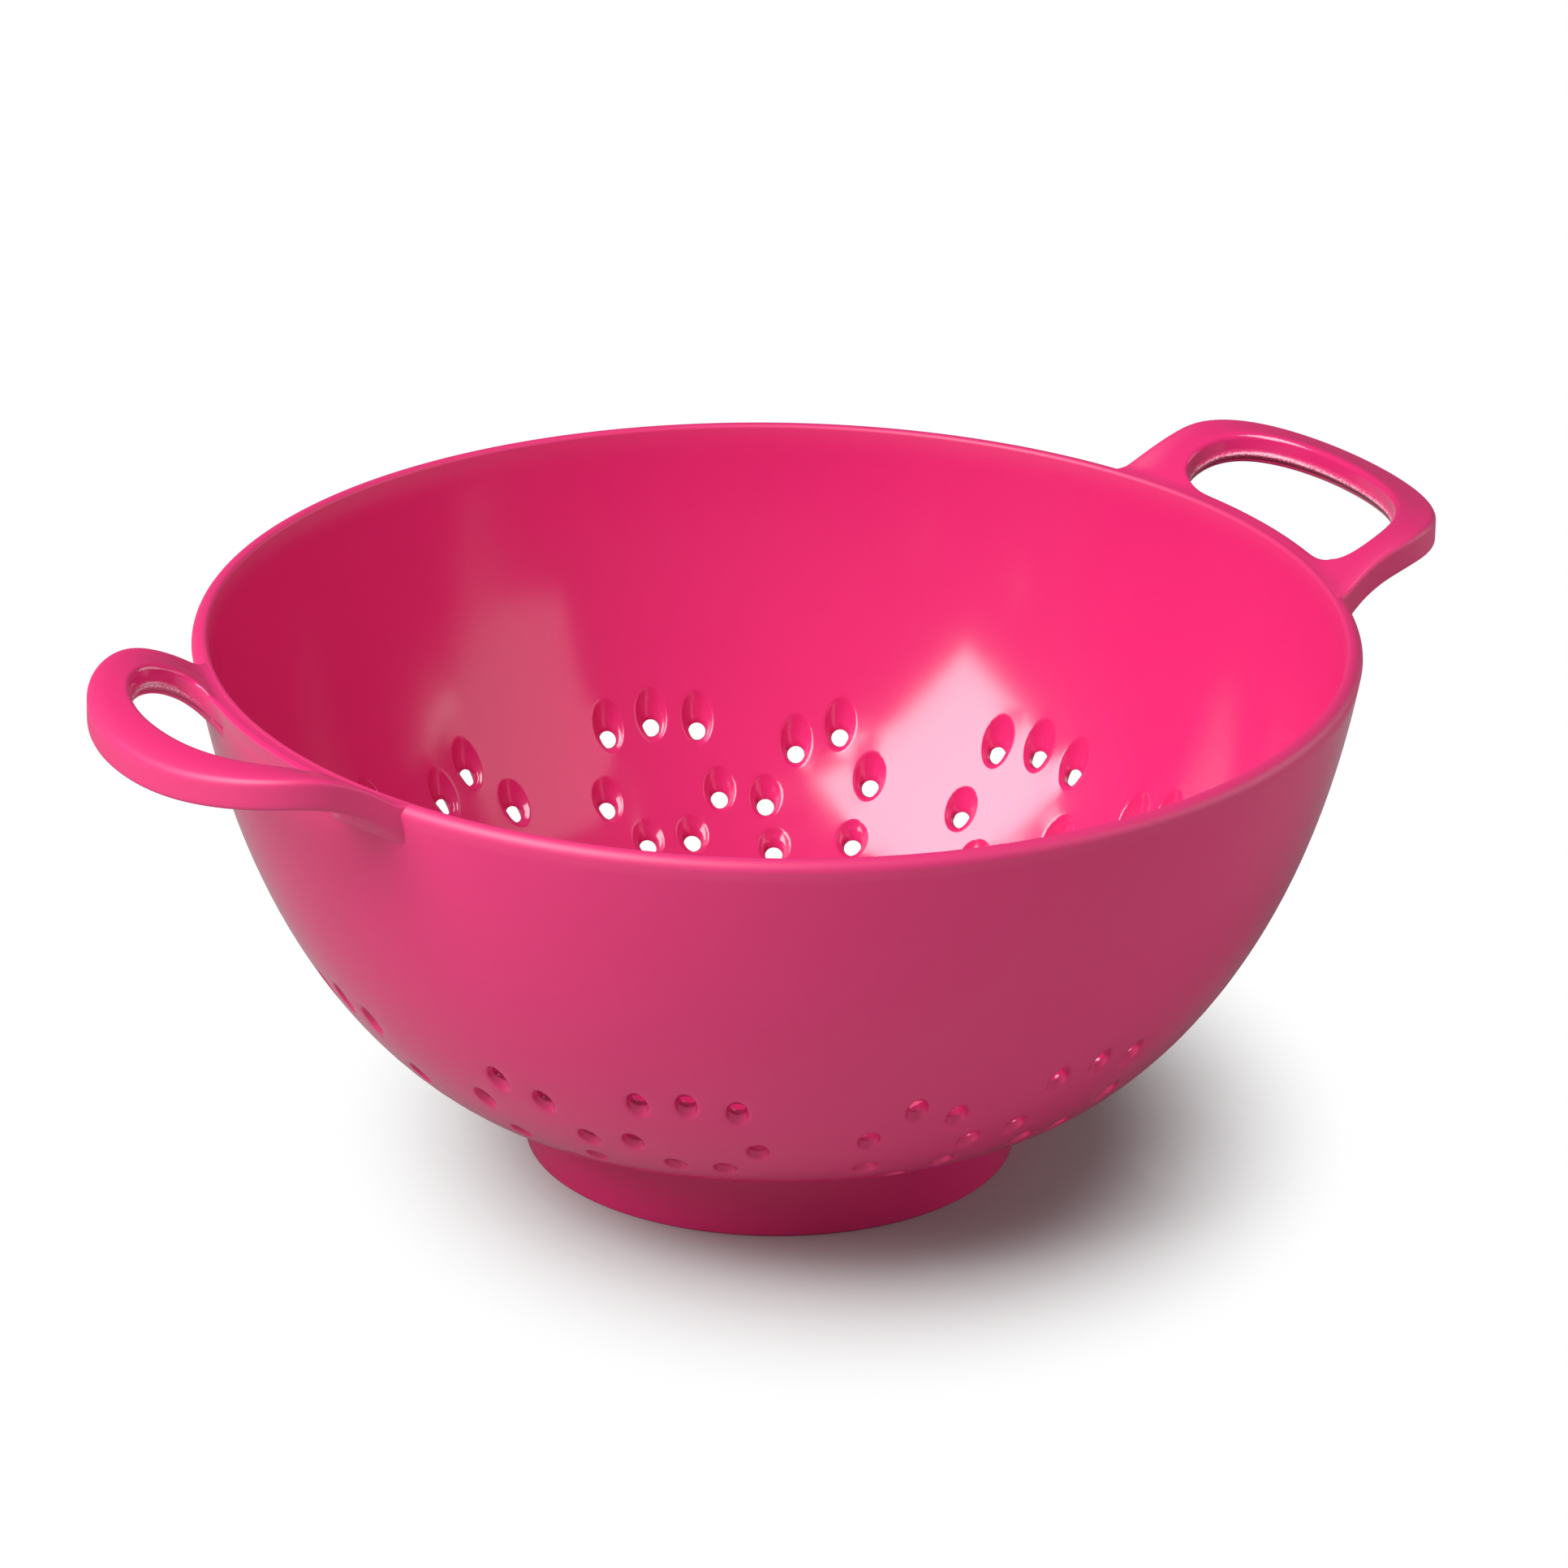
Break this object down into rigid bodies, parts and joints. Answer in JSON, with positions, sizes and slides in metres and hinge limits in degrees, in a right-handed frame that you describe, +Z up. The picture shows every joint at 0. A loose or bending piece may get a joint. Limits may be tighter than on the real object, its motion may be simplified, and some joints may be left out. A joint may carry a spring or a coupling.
{
  "type": "colander",
  "caption": "Round gloss-moulded colander: a thin bowl with rings of dished drain holes, a foot ring and two arched loop handles flowing out of the rim.",
  "frame": {"origin": "centre of the foot ring's underside, on the surface that the colander stands on", "axes": "+Z up along the bowl's axis, +X through the two handles, with handle_right on the +X side"},
  "size_m": [0.2536, 0.2, 0.1017],
  "materials": {
    "melamine": "glossy moulded melamine, evenly pink"
  },
  "bodies": {
    "root": {"bowl_shell": "melamine", "foot_ring": "melamine", "handle_right": "melamine", "handle_left": "melamine"}
  },
  "joints": []
}
